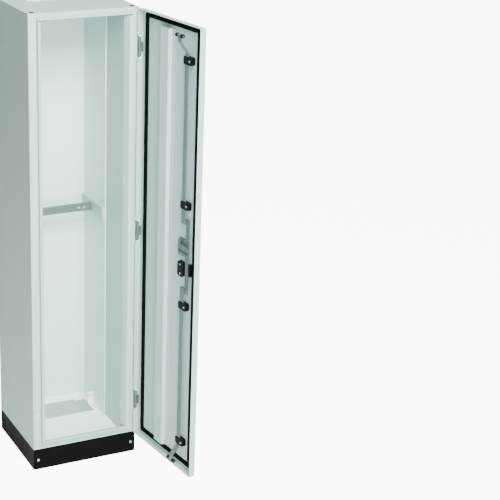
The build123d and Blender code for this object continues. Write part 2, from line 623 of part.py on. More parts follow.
# ---------------------------------------------------------------- door
def make_door():
    """Pan-shaped door with gasket, stiffener and the holes of the lock."""
    pan = block(-DOOR_EDGE, DOOR_EDGE, DOOR_FACE, RIM, DOOR_BOTTOM, DOOR_TOP)
    pan = fillet(pan.edges().filter_by(Axis.Z).group_by(Axis.Y)[0], 2.0)
    inner = DOOR_EDGE - DOOR_SHEET
    pan -= block(-inner, inner, DOOR_INNER, RIM + 1, DOOR_BOTTOM + DOOR_SHEET, DOOR_TOP - DOOR_SHEET)
    for level in HINGE_LEVELS:
        reach = HINGE_HEIGHT / 2 + NOTCH_CLEARANCE + 3.0
        deep = HINGE_Y - KNUCKLE_RADIUS - NOTCH_CLEARANCE
        pan -= block(inner - 1, DOOR_EDGE + 1, deep, RIM + 1, level - reach, level + reach)
    pan -= on_lock_axis(DOOR_FACE - 1, DOOR_INNER + 1, HUB_SHANK + HUB_HOLE_CLEARANCE)
    node("door_panel", pan, on_door=True)
    x1 = STILE_EDGE + GASKET_OVER_BEAD
    z0 = BODY_BOTTOM + SILL_FACE + SILL_BEAD / 2 - GASKET_WIDTH / 2
    z1 = TOP - SHEET - LINTEL_FACE - 4.0 + GASKET_WIDTH / 2
    outer = RectangleRounded(2 * x1, z1 - z0, 12.0)
    hollow = RectangleRounded(2 * (x1 - GASKET_WIDTH), z1 - z0 - 2 * GASKET_WIDTH, 4.0)
    ring = Plane(origin=(0, DOOR_INNER, (z0 + z1) / 2), x_dir=(1, 0, 0), z_dir=(0, 1, 0)) * extrude(
        outer - hollow, GASKET_HEIGHT)
    ring = fillet(ring.faces().sort_by(Axis.Y)[-1].edges(), 3.0)
    node("door_gasket", ring, on_door=True)
    make_stiffener(z0 + GASKET_WIDTH, z1 - GASKET_WIDTH)


def make_stiffener(clear_low, clear_high):
    """Hat-shaped upright welded inside the door, with a row of holes in its free-side flange."""
    a = DOOR_EDGE - STIFFENER_START
    b = a - STIFFENER_WIDTH
    base = DOOR_INNER + DOOR_SHEET / 2
    crest = base + STIFFENER_HEIGHT
    f = STIFFENER_FLANGE
    path = [(a, base), (a - f, base), (a - f - 5.0, crest), (b + f + 5.0, crest), (b + f, base), (b, base)]
    low, high = clear_low + 1.0, clear_high - STIFFENER_END_GAP
    hat = sheet_z(path, low, high, bend=2.0)
    pitch = 25.0
    count = int((high - low - 60) // pitch)
    x = b + f / 2
    holes = [
        rod_between((x, base - 2, high - 30 - k * pitch), (x, base + 2, high - 30 - k * pitch), 2.2)
        for k in range(count)
    ]
    x = a - f / 2
    for level in (low + 12.0, high - 12.0):
        holes.append(rod_between((x, base - 2, level), (x, base + 2, level), 2.0))
        face = base + DOOR_SHEET / 2
        DOOR_SCREWS.append(screw(x, face, level, (0, 1, 0), radius=4.0, length=DOOR_SHEET * 0.9))
    node("door_stiffener", hat - holes, on_door=True)


# ---------------------------------------------------------------- rod lock
def make_guides():
    """Four guide blocks that hold the flat rods to the door."""
    x1 = DOOR_EDGE - GUIDE_START
    x0 = x1 - GUIDE_WIDTH
    y1 = DOOR_INNER + GUIDE_DEPTH
    half_w = ROD_WIDTH / 2 + ROD_CLEARANCE
    half_t = ROD_THICKNESS / 2 + ROD_CLEARANCE
    guides, heads = [], []
    for level in GUIDE_LEVELS:
        z0, z1 = level - GUIDE_HEIGHT / 2, level + GUIDE_HEIGHT / 2
        guide = block(x0, x1, DOOR_INNER, y1, z0, z1)
        guide = chamfer(guide.edges().filter_by(Axis.Y), 5.0)
        guide = fillet(guide.faces().sort_by(Axis.Y)[-1].edges(), 1.2)
        guide -= block(ROD_X - half_w, ROD_X + half_w, ROD_Y - half_t, ROD_Y + half_t, z0 - 1, z1 + 1)
        x = DOOR_EDGE - GUIDE_SCREW
        guide -= rod_between((x, y1 - 8, level), (x, y1 + 1, level), 2.0)
        guides.append(guide)
        heads.append(screw(x, y1, level, (0, 1, 0), radius=4.5, head=2.0, shank=2.0, length=7.5))
    node("rod_guides", group(*guides), on_door=True)
    DOOR_SCREWS.extend(heads)


def make_rod(name, path, eye, rod_end):
    """One flat rod with a cranked end, an eye for the roller pin and its two rollers."""
    x0, x1 = ROD_X - ROD_WIDTH / 2, ROD_X + ROD_WIDTH / 2
    rod = sheet_x(path, x0, x1, bend=9.0, thickness=ROD_THICKNESS)
    rod += rod_between((x0, ROLLER_Y, eye), (x1, ROLLER_Y, eye), ROLLER_PIN_RADIUS + 2.5)
    rod -= rod_between((x0 - 1, ROLLER_Y, eye), (x1 + 1, ROLLER_Y, eye), ROLLER_PIN_RADIUS)
    rod -= rod_between((ROD_X, ROD_Y - 3, rod_end), (ROD_X, ROD_Y + 3, rod_end), 2.5)
    node(name + "_rod", rod, on_door=True)
    reach = ROD_WIDTH / 2 + ROLLER_SIDE_GAP + ROLLER_WIDTH
    end = reach + 1.5
    pin = rod_between((ROD_X - end, ROLLER_Y, eye), (ROD_X + end, ROLLER_Y, eye), ROLLER_PIN_RADIUS)
    for sign in (-1, 1):
        near = ROD_X + sign * (reach + ROLLER_SIDE_GAP)
        far = ROD_X + sign * end
        pin += rod_between((near, ROLLER_Y, eye), (far, ROLLER_Y, eye), ROLLER_PIN_RADIUS + 1.5)
    rollers = []
    for sign in (-1, 1):
        a = ROD_X + sign * (ROD_WIDTH / 2 + ROLLER_SIDE_GAP)
        b = a + sign * ROLLER_WIDTH
        roller = rod_between((a, ROLLER_Y, eye), (b, ROLLER_Y, eye), ROLLER_RADIUS)
        roller = fillet(roller.edges(), 1.0)
        bore = ROLLER_PIN_RADIUS + RUNNING_CLEARANCE
        roller -= rod_between((a - sign, ROLLER_Y, eye), (b + sign, ROLLER_Y, eye), bore)
        rollers.append(roller)
    node(name + "_rollers", group(*rollers), on_door=True)
    at = ROD_Y + ROD_THICKNESS / 2
    head = screw(ROD_X, at, rod_end, (0, 1, 0), radius=5.5, head=3.0, shank=2.5, length=7.5)
    node(name + "_rod_fixings", group(pin, head), on_door=True)


def fork(pin_x, pin_z, side, reach_x):
    """Slotted end of a drive bar: open towards the hub, closed side away from it."""
    half = CAM_PIN_RADIUS + SLOT_CLEARANCE
    tip = LOCK_X + side * (BOSS_RADIUS + 1.0)
    y0, y1 = DRIVE_Y - DRIVE_THICKNESS / 2, DRIVE_Y + DRIVE_THICKNESS / 2
    closed = LOCK_X + side * (CAM_PIN_REACH + half + 0.6)
    plate = block(tip, reach_x, y0, y1, pin_z - half - 8.0, pin_z + half + 8.0)
    plate -= block(tip - side, closed, y0 - 1, y1 + 1, pin_z - half, pin_z + half)
    return plate


def make_drive():
    """Drive bars between the cam and the rods, in one layer behind the rods."""
    y0, y1 = DRIVE_Y - DRIVE_THICKNESS / 2, DRIVE_Y + DRIVE_THICKNESS / 2
    bar_x1 = DOOR_EDGE - BAR_START
    bar_x0 = bar_x1 - BAR_WIDTH
    rise = ROD_TRAVEL / 2
    upper_end, lower_end = GUIDE_LEVELS[1] - 70.0, GUIDE_LEVELS[2] + 70.0
    tab_x1 = ROD_X + ROD_WIDTH / 2
    upper = fork(LOCK_X - rise, LOCK_LEVEL - rise, -1, bar_x0)
    upper += block(bar_x0, bar_x1, y0, y1, LOCK_LEVEL - rise - 11.0, upper_end + 12.0)
    upper += block(bar_x0 + 8.0, bar_x1 + 14.0, y0, y1, LOCK_LEVEL - rise, LOCK_LEVEL + 30.0)
    upper += block(bar_x0, tab_x1, y0, y1, upper_end - 12.0, upper_end + 12.0)
    upper -= rod_between((ROD_X, y0 - 1, upper_end), (ROD_X, y1 + 1, upper_end), 2.5)
    node("upper_drive_bar", upper, on_door=True)
    leg_high = LOCK_LEVEL - CAM_RADIUS - 6.0
    leg_low = leg_high - 16.0
    hook_x = LOCK_X + CAM_PIN_REACH + CAM_PIN_RADIUS + 6.0
    lower = fork(LOCK_X + rise, LOCK_LEVEL + rise, 1, hook_x)
    lower += block(hook_x - 5.0, hook_x, y0, y1, leg_low, LOCK_LEVEL + rise + 8.0)
    lower += block(bar_x0, hook_x, y0, y1, leg_low, leg_high)
    lower += block(bar_x0, bar_x1, y0, y1, lower_end - 12.0, leg_high)
    lower += block(bar_x0, tab_x1, y0, y1, lower_end - 12.0, lower_end + 12.0)
    lower -= rod_between((ROD_X, y0 - 1, lower_end), (ROD_X, y1 + 1, lower_end), 2.5)
    node("lower_drive_bar", lower, on_door=True)
    end_high, end_low = UPPER_ROLLER, LOWER_ROLLER
    upper_path = [(ROD_Y, upper_end - 10.0), (ROD_Y, end_high - 72.0), (ROLLER_Y, end_high - 22.0),
                  (ROLLER_Y, end_high - 4.0)]
    lower_path = [(ROD_Y, lower_end + 10.0), (ROD_Y, end_low + 62.0), (ROLLER_Y, end_low + 20.0),
                  (ROLLER_Y, end_low + 4.0)]
    make_rod("upper", upper_path, end_high, upper_end)
    make_rod("lower", lower_path, end_low, lower_end)


def make_cam():
    """Spindle with cam, two drive pins and the cranked tongue; all turn together."""
    tongue_in, tongue_out = TONGUE_Y - 2.0, TONGUE_Y + 2.0
    spindle = on_lock_axis(HUB_FACE + 2.0, tongue_out, SPINDLE_RADIUS)
    cam_a, cam_b = CAM_Y - CAM_THICKNESS / 2, CAM_Y + CAM_THICKNESS / 2
    cam = on_lock_axis(cam_a, cam_b, CAM_RADIUS) + on_lock_axis(cam_b, tongue_in, BOSS_RADIUS)
    cam -= on_lock_axis(cam_a - 1, tongue_in + 1, SPINDLE_RADIUS)
    offset = ROD_TRAVEL / 2
    pins = []
    for sign in (-1, 1):
        x, z = LOCK_X + sign * offset, LOCK_LEVEL + sign * offset
        cam -= rod_between((x, cam_a - 1, z), (x, cam_b + 1, z), CAM_PIN_RADIUS)
        head_at = DRIVE_Y + DRIVE_THICKNESS / 2 + 0.4
        pin = rod_between((x, cam_a, z), (x, head_at, z), CAM_PIN_RADIUS)
        head = rod_between((x, head_at, z), (x, head_at + 2.2, z), CAM_PIN_HEAD)
        pins.append(pin + fillet(head.edges().sort_by(Axis.Y)[-1], 0.8))
    node("lock_cam", cam, on_door=True)
    node("cam_drive_pins", group(*pins), on_door=True)
    half = TONGUE_WIDTH / 2
    mid = LOCK_X - TONGUE_LENGTH * 0.5
    tip = LOCK_X - TONGUE_LENGTH
    far = TONGUE_Y + TONGUE_CRANK
    path = [(LOCK_X, TONGUE_Y), (mid, TONGUE_Y), (mid - 8.0, far), (tip, far)]
    tongue = sheet_z(path, LOCK_LEVEL - half, LOCK_LEVEL + half, bend=2.5, thickness=4.0)
    tongue = chamfer(tongue.edges().filter_by(Axis.Y).group_by(Axis.X)[0], 5.0)
    tongue += on_lock_axis(tongue_in, tongue_out, half)
    tongue -= on_lock_axis(tongue_in - 1, tongue_out + 1, SPINDLE_RADIUS)
    nut = Plane(origin=(LOCK_X, tongue_out, LOCK_LEVEL), z_dir=(0, 1, 0)) * extrude(RegularPolygon(7.5, 6), 4.0)
    node("latch_tongue", tongue, on_door=True)
    node("lock_spindle", group(spindle, nut), on_door=True)


def make_lock_case():
    """Fixed pieces of the lock on the inside of the door."""
    plate_y = DOOR_INNER + 2.5
    plate = block(LOCK_X - 32, LOCK_X + 30, DOOR_INNER, plate_y, LOCK_LEVEL - 30, LOCK_LEVEL + 30)
    plate = fillet(plate.edges().filter_by(Axis.Y), 6.0)
    plate -= on_lock_axis(DOOR_INNER - 1, plate_y + 1, HUB_SHANK + HUB_HOLE_CLEARANCE)
    node("lock_mounting_plate", plate, on_door=True)
    low, high = LOCK_LEVEL - 137.0, LOCK_LEVEL - 72.0
    x0, x1 = LOCK_X - 19.0, LOCK_X + 21.0
    top = DOOR_INNER + 16.5
    case = block(x0, x1, DOOR_INNER, top, low, high)
    case = chamfer(case.edges().filter_by(Axis.Y), 6.0)
    case = fillet(case.faces().sort_by(Axis.Y)[-1].edges(), 2.0)
    heads = []
    for level in (low + 14.0, high - 12.0):
        x = LOCK_X - 3.0
        case -= rod_between((x, top - 6, level), (x, top + 1, level), 2.0)
        heads.append(screw(x, top, level, (0, 1, 0), radius=4.0, head=1.8, shank=2.0, length=5.5))
    node("handle_keeper_case", case, on_door=True)
    DOOR_SCREWS.extend(heads)
    gx1 = DOOR_EDGE - BAR_START - BAR_WIDTH - 2.0
    guard = block(gx1 - 10.0, gx1, DOOR_INNER, DOOR_INNER + 13.0, LOCK_LEVEL - 120.0, LOCK_LEVEL - 66.0)
    guard = fillet(guard.edges().filter_by(Axis.X), 3.0)
    node("drive_bar_guard", guard, on_door=True)


def make_handle():
    """Outside swivel handle: escutcheon, turning hub, lift-up lever and key cylinder."""
    base = block(LOCK_X - BASE_WIDTH / 2, LOCK_X + BASE_WIDTH / 2, DOOR_FACE, BASE_FACE,
                 LOCK_LEVEL - BASE_BOTTOM, LOCK_LEVEL + BASE_TOP)
    base = fillet(base.edges().filter_by(Axis.Y), 12.0)
    base = fillet(base.faces().sort_by(Axis.Y)[0].edges(), 1.5)
    bore = HUB_SHANK + RUNNING_CLEARANCE
    base -= on_lock_axis(DOOR_FACE + 1, BASE_FACE - 1, bore)
    node("handle_base", base, on_door=True)
    hub = on_lock_axis(HUB_FACE, HUB_FACE + HUB_HEIGHT, HUB_RADIUS)
    hub += on_lock_axis(HUB_FACE + HUB_HEIGHT, DOOR_INNER, HUB_SHANK)
    lug_half = 5.0
    lug_r = 4.0
    lug = block(LEVER_PIN_X - 5.0, LEVER_PIN_X + lug_r, HUB_FACE, LEVER_PIN_Y,
                LOCK_LEVEL - lug_half, LOCK_LEVEL + lug_half)
    lug += rod_between((LEVER_PIN_X, LEVER_PIN_Y, LOCK_LEVEL - lug_half),
                       (LEVER_PIN_X, LEVER_PIN_Y, LOCK_LEVEL + lug_half), lug_r)
    hub += lug
    hub -= rod_between((LEVER_PIN_X, LEVER_PIN_Y, LOCK_LEVEL - 8), (LEVER_PIN_X, LEVER_PIN_Y, LOCK_LEVEL + 8),
                       LEVER_PIN_RADIUS)
    hub -= on_lock_axis(HUB_FACE + 2.0, DOOR_INNER + 1, SPINDLE_RADIUS)
    node("handle_hub", hub, on_door=True)
    pin = rod_between((LEVER_PIN_X, LEVER_PIN_Y, LOCK_LEVEL - LEVER_WIDTH / 2),
                      (LEVER_PIN_X, LEVER_PIN_Y, LOCK_LEVEL + LEVER_WIDTH / 2), LEVER_PIN_RADIUS)
    node("lever_pin", pin, on_door=True)
    make_lever(lug_half)


def make_lever(lug_half):
    """Lift-up lever with two ears round the hub's lug, and the key cylinder in its end."""
    half = LEVER_WIDTH / 2
    root = LOCK_X + HUB_RADIUS + 2.5
    tip = LOCK_X + LEVER_LENGTH
    lever = block(root, tip, LEVER_INNER, LEVER_OUTER, LOCK_LEVEL - half, LOCK_LEVEL + half)
    lever = fillet(lever.edges().filter_by(Axis.Y).group_by(Axis.X)[-1], 12.0)
    lever = fillet(lever.faces().sort_by(Axis.Y)[0].edges(), 2.5)
    ear_in = LEVER_PIN_Y + 2.5
    for sign in (-1, 1):
        ear = block(LEVER_PIN_X - 4.0, root + 4.0, ear_in, LEVER_OUTER + 2.5,
                    LOCK_LEVEL + sign * (lug_half + 0.5), LOCK_LEVEL + sign * half)
        lever += ear
    lever -= block(root - 1, root + 2.0, ear_in + 3, LEVER_OUTER - 1,
                   LOCK_LEVEL - lug_half - 0.5, LOCK_LEVEL + lug_half + 0.5)
    low, high = LOCK_LEVEL - half - 1, LOCK_LEVEL + half + 1
    bore = LEVER_PIN_RADIUS + RUNNING_CLEARANCE
    lever -= rod_between((LEVER_PIN_X, LEVER_PIN_Y, low), (LEVER_PIN_X, LEVER_PIN_Y, high), bore)
    at = (CYLINDER_X, LOCK_LEVEL)
    lever -= rod_between((at[0], LEVER_INNER + 1, at[1]), (at[0], LEVER_OUTER - 1, at[1]),
                         CYLINDER_RADIUS + RUNNING_CLEARANCE)
    node("handle_lever", lever, on_door=True)
    barrel = rod_between((at[0], LEVER_INNER, at[1]), (at[0], LEVER_OUTER - 0.8, at[1]), CYLINDER_RADIUS)
    barrel = fillet(barrel.edges().sort_by(Axis.Y)[0], 0.6)
    barrel -= block(at[0] - 4.5, at[0] + 4.5, LEVER_OUTER + 4.0, LEVER_OUTER - 2, at[1] - 0.8, at[1] + 0.8)
    node("key_cylinder", barrel, on_door=True)


def main():
    """Builds every piece and writes one file for each."""
    make_plinth()
    make_posts()
    make_cross_members()
    make_shell()
    make_gland()
    make_inside()
    make_hinges()
    make_door()
    make_guides()
    make_drive()
    make_cam()
    make_lock_case()
    make_handle()
    node("door_inner_screws", group(*DOOR_SCREWS), on_door=True)
    node("base_fixings", group(*BASE_FIXINGS))
    os.makedirs("parts", exist_ok=True)
    for name, shape in PARTS.items():
        export_step(shape, f"parts/{name}.step")


main()
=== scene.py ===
"""Finishes, soft pieces, studio and camera for the switchboard cabinet.

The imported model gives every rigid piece. This script paints those pieces, adds the soft and turned pieces
whose shape is finer than the solids (door seal, cable membranes, rollers), and sets up the studio.
Lengths are metres. Points of the door are worked out with the door closed, then turned about the hinge line.
"""

import enum
import json
import logging
import math
from dataclasses import dataclass

import bpy
import numpy as np
from mathutils import Euler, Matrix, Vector

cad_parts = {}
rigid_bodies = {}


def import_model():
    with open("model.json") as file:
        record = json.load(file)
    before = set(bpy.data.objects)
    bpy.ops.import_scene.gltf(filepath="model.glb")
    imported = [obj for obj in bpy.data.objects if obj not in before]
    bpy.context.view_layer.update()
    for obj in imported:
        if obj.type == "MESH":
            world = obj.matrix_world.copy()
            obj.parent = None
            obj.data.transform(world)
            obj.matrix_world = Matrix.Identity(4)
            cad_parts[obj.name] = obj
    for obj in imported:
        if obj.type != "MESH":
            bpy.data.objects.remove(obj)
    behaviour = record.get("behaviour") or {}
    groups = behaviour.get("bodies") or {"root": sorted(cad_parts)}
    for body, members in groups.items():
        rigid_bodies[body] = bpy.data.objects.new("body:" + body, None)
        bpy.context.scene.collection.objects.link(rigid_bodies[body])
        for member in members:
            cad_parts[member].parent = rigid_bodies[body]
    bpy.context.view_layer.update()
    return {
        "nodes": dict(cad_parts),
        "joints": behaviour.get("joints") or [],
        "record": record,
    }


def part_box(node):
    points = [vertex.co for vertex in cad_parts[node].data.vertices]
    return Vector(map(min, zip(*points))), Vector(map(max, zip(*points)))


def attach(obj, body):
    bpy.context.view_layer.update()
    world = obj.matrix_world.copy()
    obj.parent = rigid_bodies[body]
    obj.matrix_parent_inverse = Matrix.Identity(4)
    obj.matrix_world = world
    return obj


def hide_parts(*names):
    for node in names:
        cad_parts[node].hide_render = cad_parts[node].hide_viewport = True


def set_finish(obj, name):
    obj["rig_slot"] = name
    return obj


LOG = logging.getLogger("cabinet")
MM = 0.001
WHITE = (1.0, 1.0, 1.0, 1.0)


# ------------------------------------------------------------------ named options
class Axis(enum.Enum):
    """Main directions of the cabinet."""

    X = (1.0, 0.0, 0.0)
    Y = (0.0, 1.0, 0.0)
    Z = (0.0, 0.0, 1.0)


# ------------------------------------------------------------------ shader arithmetic
class Sock:
    """One output of a shader node, which can be used in sums like a number.

    Args:
        tree: the node tree that holds it.
        out: the output socket.
    """

    def __init__(self, tree: bpy.types.NodeTree, out: bpy.types.NodeSocket) -> None:
        self.tree = tree
        self.out = out

    def math(self, operation: str, *others: "Sock | float", clamp: bool = False) -> "Sock":
        """Feeds this socket and the others into one Math node.

        Args:
            operation: the Math node's operation.
            *others: the other inputs, sockets or plain numbers.
            clamp: whether the result is held between 0 and 1.

        Returns:
            The node's output.
        """
        return combine(self.tree, operation, (self, *others), clamp)

    def __add__(self, other: "Sock | float") -> "Sock":
        return self.math("ADD", other)

    def __radd__(self, other: float) -> "Sock":
        return self.math("ADD", other)

    def __sub__(self, other: "Sock | float") -> "Sock":
        return self.math("SUBTRACT", other)

    def __rsub__(self, other: float) -> "Sock":
        return combine(self.tree, "SUBTRACT", (other, self))

    def __mul__(self, other: "Sock | float") -> "Sock":
        return self.math("MULTIPLY", other)

    def __rmul__(self, other: float) -> "Sock":
        return self.math("MULTIPLY", other)

    def __truediv__(self, other: "Sock | float") -> "Sock":
        return self.math("DIVIDE", other)

    def __rtruediv__(self, other: float) -> "Sock":
        return combine(self.tree, "DIVIDE", (other, self))

    def held(self) -> "Sock":
        """This value held between 0 and 1."""
        return self.math("ADD", 0.0, clamp=True)

    def ramp(self, low: float, high: float) -> "Sock":
        """0 below low, 1 above high and a straight line between.

        Args:
            low: value that gives 0.
            high: value that gives 1.

        Returns:
            The ramped value.
        """
        return ((self - low) / (high - low)).held()


def feed(tree: bpy.types.NodeTree, socket: bpy.types.NodeSocket, value: object) -> None:
    """Links an input socket to another node, or sets its plain value.

    Args:
        tree: the node tree.
        socket: the input.
        value: a Sock, output socket, number or tuple.
    """
    source = value.out if isinstance(value, Sock) else value
    if isinstance(source, bpy.types.NodeSocket):
        tree.links.new(source, socket)
    else:
        socket.default_value = source


def add_node(tree: bpy.types.NodeTree, kind: str, settings: dict[str, object],
             sockets: dict[str | int, object]) -> bpy.types.Node:
    """Adds a node: first its settings, then its inputs.

    Args:
        tree: the node tree.
        kind: the node's type, without the leading ShaderNode.
        settings: name and value of each setting.
        sockets: name or number of each input, and what it is fed.

    Returns:
        The node.
    """
    node = tree.nodes.new("ShaderNode" + kind)
    for name, value in settings.items():
        setattr(node, name, value)
    for name, value in sockets.items():
        feed(tree, node.inputs[name], value)
    return node


def combine(tree: bpy.types.NodeTree, operation: str, values: tuple, clamp: bool = False) -> Sock:
    """A Math node.

    Args:
        tree: the node tree.
        operation: the Math node's operation.
        values: its inputs in order.
        clamp: whether the result is held between 0 and 1.

    Returns:
        The node's output.
    """
    node = add_node(tree, "Math", {"operation": operation, "use_clamp": clamp}, dict(enumerate(values)))
    return Sock(tree, node.outputs[0])


class Painter:
    """Builds one material's node tree.

    Args:
        name: the material's name.
    """

    def __init__(self, name: str) -> None:
        self.material = bpy.data.materials.new(name)
        self.material.use_nodes = True
        self.tree = self.material.node_tree
        self.shader = next(n for n in self.tree.nodes if n.type == "BSDF_PRINCIPLED")
        self.place = add_node(self.tree, "TexCoord", {}, {}).outputs["Object"]

    def stretched(self, scale: tuple[float, float, float]) -> bpy.types.NodeSocket:
        """Object coordinates multiplied along each axis.

        Args:
            scale: the three factors.

        Returns:
            The vector socket.
        """
        return add_node(self.tree, "Mapping", {}, {"Scale": scale, "Vector": self.place}).outputs["Vector"]

    def noise(self, scale: float, detail: float = 3.0, rough: float = 0.5,
              stretch: tuple[float, float, float] = (1.0, 1.0, 1.0)) -> Sock:
        """Fractal noise from 0 to 1 over object space.

        Args:
            scale: cells in a metre.
            detail: octaves.
            rough: share of the finer octaves.
            stretch: extra factor along each axis.

        Returns:
            The noise value.
        """
        sockets = {"Scale": scale, "Detail": detail, "Roughness": rough, "Vector": self.stretched(stretch)}
        return Sock(self.tree, add_node(self.tree, "TexNoise", {}, sockets).outputs["Fac"])

    def cells(self, scale: float) -> tuple[Sock, Sock]:
        """Voronoi cells over object space.

        Args:
            scale: cells in a metre.

        Returns:
            The distance in cells, and a random value for each cell.
        """
        cell = add_node(self.tree, "TexVoronoi", {}, {"Scale": scale, "Vector": self.place})
        split = add_node(self.tree, "SeparateColor", {}, {"Color": cell.outputs["Color"]})
        return Sock(self.tree, cell.outputs["Distance"]), Sock(self.tree, split.outputs[0])

    def axis(self, which: Axis) -> Sock:
        """One object coordinate, in metres.

        Args:
            which: the direction.

        Returns:
            The coordinate.
        """
        node = add_node(self.tree, "SeparateXYZ", {}, {0: self.place})
        return Sock(self.tree, node.outputs[list(Axis).index(which)])

    def mix(self, factor: Sock, first: object, second: object) -> Sock:
        """Two colours mixed.

        Args:
            factor: 0 gives the first, 1 the second.
            first: a Sock or an RGBA tuple.
            second: a Sock or an RGBA tuple.

        Returns:
            The colour.
        """
        node = add_node(self.tree, "Mix", {"data_type": "RGBA"}, {0: factor, 6: first, 7: second})
        return Sock(self.tree, node.outputs[2])

    def relief(self, height: Sock, depth: float, strength: float, edge: float) -> None:
        """Bump on the shader's normal, over softened edges.

        Args:
            height: the height value.
            depth: metres for one unit of height.
            strength: share of the bump that is used.
            edge: radius of the softened edges, in metres.
        """
        soft = add_node(self.tree, "Bevel", {"samples": 4}, {"Radius": edge})
        flat = soft.outputs["Normal"]
        sockets = {"Strength": strength, "Distance": depth, "Height": height, "Normal": flat}
        self.put(Normal=add_node(self.tree, "Bump", {}, sockets).outputs["Normal"])

    def put(self, **inputs: object) -> None:
        """Sets inputs of the main shader, spaces in their names written as underscores.

        Args:
            **inputs: input name and what it is fed.
        """
        for name, value in inputs.items():
            feed(self.tree, self.shader.inputs[name.replace("_", " ")], value)


def tint(colour: tuple[float, float, float], factor: float) -> tuple[float, float, float, float]:
    """An opaque colour times a factor, each channel held under 1.

    Args:
        colour: linear red, green and blue.
        factor: brightness factor.

    Returns:
        The RGBA tuple.
    """
    return tuple(min(1.0, c * factor) for c in colour) + (1.0,)


# ------------------------------------------------------------------ finishes
@dataclass(frozen=True)
class PowderCoat:
    """Baked powder paint: fine orange peel, faint mottling, handling smudges and settled dust.

    Args:
        name: material name.
        colour: linear paint colour.
        roughness: middle roughness.
        peel: depth of the orange peel in metres.
        mottle: how much lighter and darker the paint gets.
        dust: how much dust shows.
        gloss: strength of the clear reflection.
    """

    name: str
    colour: tuple[float, float, float]
    roughness: float = 0.42
    peel: float = 0.00006
    mottle: float = 0.03
    dust: float = 0.08
    gloss: float = 0.5

    def build(self) -> bpy.types.Material:
        """Makes the material.

        Returns:
            The material.
        """
        p = Painter(self.name)
        broad = p.noise(2.3, 4.0, 0.55)
        smudge = p.noise(9.0, 6.0, 0.62, (1.0, 1.0, 0.45)).ramp(0.52, 0.78)
        speck = p.noise(420.0, 2.0, 0.7).ramp(0.70, 0.78)
        low = p.axis(Axis.Z).ramp(0.35, 0.0) * p.noise(26.0, 5.0, 0.7).ramp(0.42, 0.72)
        base = p.mix(broad, tint(self.colour, 1 - self.mottle), tint(self.colour, 1 + self.mottle))
        dusty = p.mix((smudge * 0.35 + low * 0.8 + speck * 0.25) * self.dust, base, (0.50, 0.53, 0.52, 1.0))
        rough = self.roughness + (broad - 0.5) * 0.06 + smudge * 0.10 + low * 0.12
        p.put(Base_Color=dusty, Roughness=rough.held(), Specular_IOR_Level=self.gloss)
        peel = p.noise(900.0, 2.0, 0.45) * 0.7 + p.cells(1500.0)[0] * 0.3
        p.relief(peel, self.peel, 0.35, 0.0007)
        return p.material


@dataclass(frozen=True)
class Zinc:
    """Plated or galvanised steel: small crystals, drawn grain and duller handling marks.

    Args:
        name: material name.
        colour: linear metal colour.
        roughness: middle roughness.
        grain: stretch of the drawn grain along each axis.
        spangle: cells in a metre.
        contrast: how much the crystals differ.
        metallic: share of metal reflection.
    """

    name: str
    colour: tuple[float, float, float]
    roughness: float = 0.38
    grain: tuple[float, float, float] = (1.0, 1.0, 0.03)
    spangle: float = 210.0
    contrast: float = 0.10
    metallic: float = 0.85

    def build(self) -> bpy.types.Material:
        """Makes the material.

        Returns:
            The material.
        """
        p = Painter(self.name)
        crystal = p.cells(self.spangle)[1]
        drawn = p.noise(950.0, 3.0, 0.6, self.grain)
        stain = p.noise(18.0, 6.0, 0.65).ramp(0.48, 0.74)
        bright = p.mix(crystal, tint(self.colour, 1 - self.contrast), tint(self.colour, 1 + self.contrast))
        lined = p.mix(drawn.ramp(0.35, 0.65) * 0.25, bright, tint(self.colour, 0.72))
        stained = p.mix(stain * 0.22, lined, tint(self.colour, 0.60))
        rough = self.roughness + (crystal - 0.5) * 0.12 + stain * 0.16 + (drawn - 0.5) * 0.10
        p.put(Base_Color=stained, Metallic=self.metallic, Roughness=rough.held())
        p.relief(drawn * 0.6 + crystal * 0.4, 0.00004, 0.30, 0.0004)
        return p.material


@dataclass(frozen=True)
class Moulded:
    """Moulded plastic or rubber: spark-eroded grain, flow marks and pale dust in the pores.

    Args:
        name: material name.
        colour: linear colour.
        roughness: middle roughness.
        pores: grain cells in a metre.
        depth: grain depth in metres.
        bloom: how much pale bloom shows.
        gloss: strength of the clear reflection.
    """

    name: str
    colour: tuple[float, float, float]
    roughness: float = 0.5
    pores: float = 1400.0
    depth: float = 0.00005
    bloom: float = 0.08
    gloss: float = 0.25

    def build(self) -> bpy.types.Material:
        """Makes the material.

        Returns:
            The material.
        """
        p = Painter(self.name)
        grain = p.noise(self.pores, 3.0, 0.6)
        flow = p.noise(14.0, 5.0, 0.6, (1.0, 1.0, 0.3))
        pale = flow.ramp(0.50, 0.80) * 0.7 + grain.ramp(0.58, 0.75) * 0.5
        base = p.mix(flow, tint(self.colour, 0.88), tint(self.colour, 1.12))
        bloomed = p.mix((pale * self.bloom).held(), base, (0.42, 0.43, 0.43, 1.0))
        rough = self.roughness + (flow - 0.5) * 0.12 + grain.ramp(0.4, 0.7) * 0.08
        p.put(Base_Color=bloomed, Roughness=rough.held(), Specular_IOR_Level=self.gloss)
        p.relief(grain, self.depth, 0.4, 0.0005)
        return p.material


